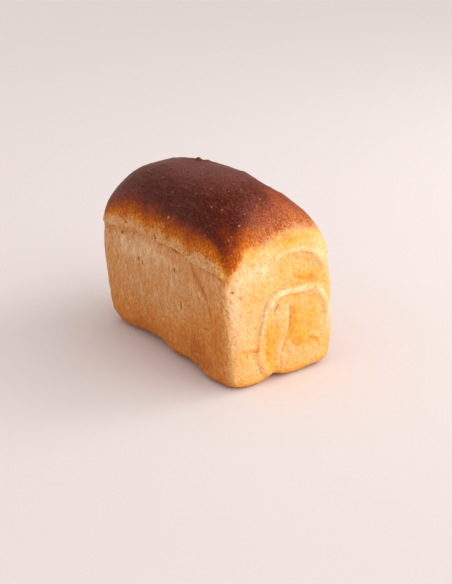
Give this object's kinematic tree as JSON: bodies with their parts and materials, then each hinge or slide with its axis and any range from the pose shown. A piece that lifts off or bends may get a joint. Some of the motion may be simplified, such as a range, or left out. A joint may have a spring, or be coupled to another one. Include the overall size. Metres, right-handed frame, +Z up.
{
  "type": "white sandwich loaf",
  "caption": "Tall tin-baked white sandwich loaf, uncut, with pressed golden walls, a dark domed crown and tucked dough folds on its ends.",
  "frame": {"origin": "under the middle of the loaf, on the surface that it stands on", "axes": "+Z up through the crown, +X along the loaf's length towards the end with the tucked roll end"},
  "size_m": [0.2376, 0.1168, 0.1672],
  "materials": {
    "baked_crust": "matte baked crust, dark and slightly glossy on the crown"
  },
  "bodies": {
    "root": {"loaf": "baked_crust"}
  },
  "joints": []
}
